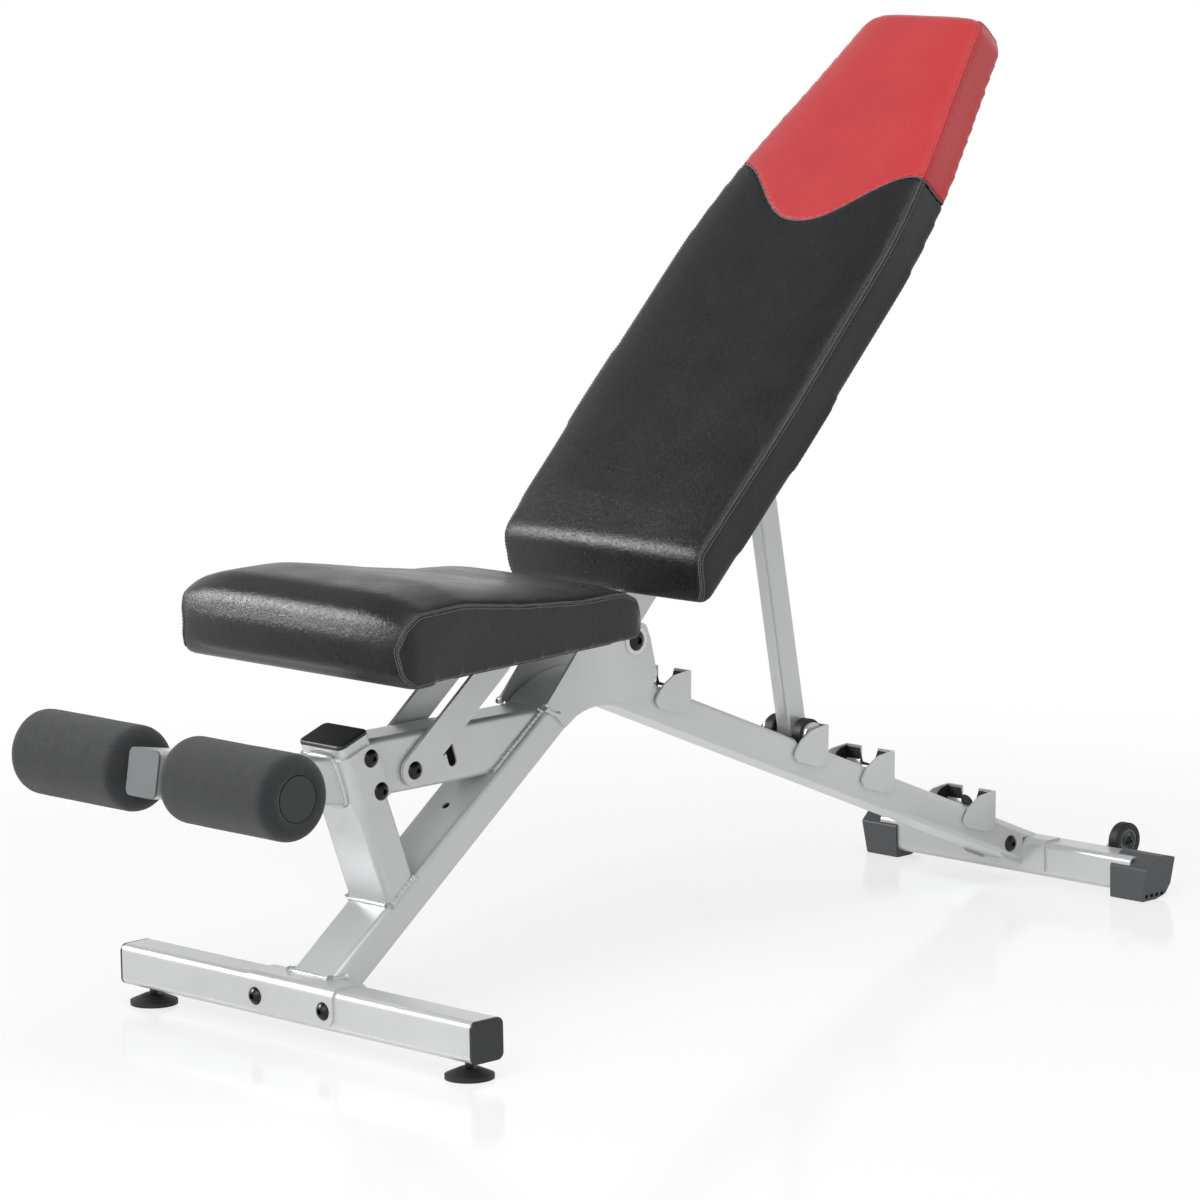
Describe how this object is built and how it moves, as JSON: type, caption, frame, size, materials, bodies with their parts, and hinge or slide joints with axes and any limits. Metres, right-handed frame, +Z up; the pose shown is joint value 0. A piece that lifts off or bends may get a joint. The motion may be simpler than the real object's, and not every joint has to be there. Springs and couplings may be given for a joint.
{
  "type": "decline sit-up bench",
  "caption": "Adjustable sit-up bench with padded seat, tapered back rest held by a brace in hooks, foam leg rollers and transport wheels.",
  "frame": {"origin": "on the floor, under the middle of the bench's length, in its plane of symmetry", "axes": "+X towards the wheels, +Y across, +Z up; mm in the source, m in the record"},
  "size_m": [1.577, 0.622, 1.1345],
  "materials": {
    "grey_paint": "semi-gloss powder coat",
    "black_vinyl": "grained vinyl, soft sheen",
    "plywood": "plain",
    "foam": "matte closed cell foam",
    "black_plastic": "fine texture",
    "grey_plastic": "satin",
    "grey_rubber": "matte",
    "black_rubber": "matte",
    "black_steel": "black oxide",
    "zinc_steel": "zinc plated"
  },
  "bodies": {
    "frame": {"clamp_bolts": "black_steel", "diagonal_tube": "grey_paint", "front_cross_tube": "grey_paint", "front_end_cap_left": "black_plastic", "front_end_cap_right": "black_plastic", "front_saddle": "grey_paint", "front_saddle_bolts": "black_steel", "gusset_left": "grey_paint", "gusset_right": "grey_paint", "hook_1": "grey_paint", "hook_2": "grey_paint", "hook_3": "grey_paint", "hook_4": "grey_paint", "leg_arm": "grey_paint", "leg_arm_cap": "grey_plastic", "leg_clamp": "grey_paint", "pivot_bolt": "black_steel", "pivot_spacers": "zinc_steel", "rear_bolt": "black_steel", "rear_boot_left": "grey_rubber", "rear_boot_right": "grey_rubber", "rear_cross_tube": "grey_paint", "rear_saddle": "grey_paint", "roller_axle": "zinc_steel", "seat_beam": "grey_paint", "spine_tube": "grey_paint", "upright_cap": "black_plastic", "upright_tube": "grey_paint", "wheel_axles": "black_steel", "wheel_bracket_left": "grey_paint", "wheel_bracket_right": "grey_paint"},
    "seat": {"seat_pad": "black_vinyl", "seat_board": "plywood", "seat_rail_left": "grey_paint", "seat_rail_right": "grey_paint", "strut_top_bolt": "black_steel"},
    "seat_struts": {"seat_strut_left": "grey_paint", "seat_strut_right": "grey_paint", "strut_pin": "black_steel"},
    "back_rest": {"back_pad": "black_vinyl", "back_board": "plywood", "back_tube": "grey_paint", "back_tube_cap": "black_plastic", "brace_ears": "grey_paint", "brace_bolt": "black_steel"},
    "brace": {"brace_tube": "grey_paint", "brace_foot_bar": "grey_paint", "brace_rings": "black_rubber"},
    "leg_roller_left": {"foam_roller_left": "foam", "roller_core_left": "black_plastic", "roller_cap_left": "black_plastic"},
    "leg_roller_right": {"foam_roller_right": "foam", "roller_core_right": "black_plastic", "roller_cap_right": "black_plastic"},
    "wheel_left": {"wheel_tyre_left": "black_rubber", "wheel_hub_left": "grey_plastic"},
    "wheel_right": {"wheel_tyre_right": "black_rubber", "wheel_hub_right": "grey_plastic"},
    "foot_left": {"level_foot_left": "black_rubber"},
    "foot_right": {"level_foot_right": "black_rubber"}
  },
  "joints": [
    {"name": "seat_tilt", "type": "hinge", "parent": "frame", "child": "seat", "pos_m": [-0.0225, 0, 0.414], "axis": [0, 1, 0], "range_deg": [0, 12.9]},
    {"name": "strut_swing", "type": "hinge", "parent": "seat", "child": "seat_struts", "pos_m": [-0.2435, 0, 0.419], "axis": [0, 1, 0], "range_deg": [-29.65, 0.5]},
    {"name": "back_tilt", "type": "hinge", "parent": "frame", "child": "back_rest", "pos_m": [-0.0225, 0, 0.414], "axis": [0, -1, 0], "range_deg": [0, 36.5]},
    {"name": "brace_swing", "type": "hinge", "parent": "back_rest", "child": "brace", "pos_m": [0.23113, 0, 0.62847], "axis": [0, -1, 0], "range_deg": [-37, 0.5]},
    {"name": "leg_roller_spin_left", "type": "hinge", "parent": "frame", "child": "leg_roller_left", "pos_m": [-0.7375, -0.133, 0.348], "axis": [0, 1, 0], "continuous": true},
    {"name": "leg_roller_spin_right", "type": "hinge", "parent": "frame", "child": "leg_roller_right", "pos_m": [-0.7375, 0.133, 0.348], "axis": [0, 1, 0], "continuous": true},
    {"name": "wheel_spin_left", "type": "hinge", "parent": "frame", "child": "wheel_left", "pos_m": [0.7645, -0.146, 0.057], "axis": [0, 1, 0], "continuous": true},
    {"name": "wheel_spin_right", "type": "hinge", "parent": "frame", "child": "wheel_right", "pos_m": [0.7645, 0.146, 0.057], "axis": [0, 1, 0], "continuous": true},
    {"name": "foot_screw_left", "type": "slide", "parent": "frame", "child": "foot_left", "axis": [0, 0, -1], "range_m": [0, 0.01]},
    {"name": "foot_screw_right", "type": "slide", "parent": "frame", "child": "foot_right", "axis": [0, 0, -1], "range_m": [0, 0.01]}
  ],
  "couplings": [
    {"joint": "strut_swing", "follows": "seat_tilt", "ratio": -2.26},
    {"joint": "brace_swing", "follows": "back_tilt", "ratio": -1}
  ]
}
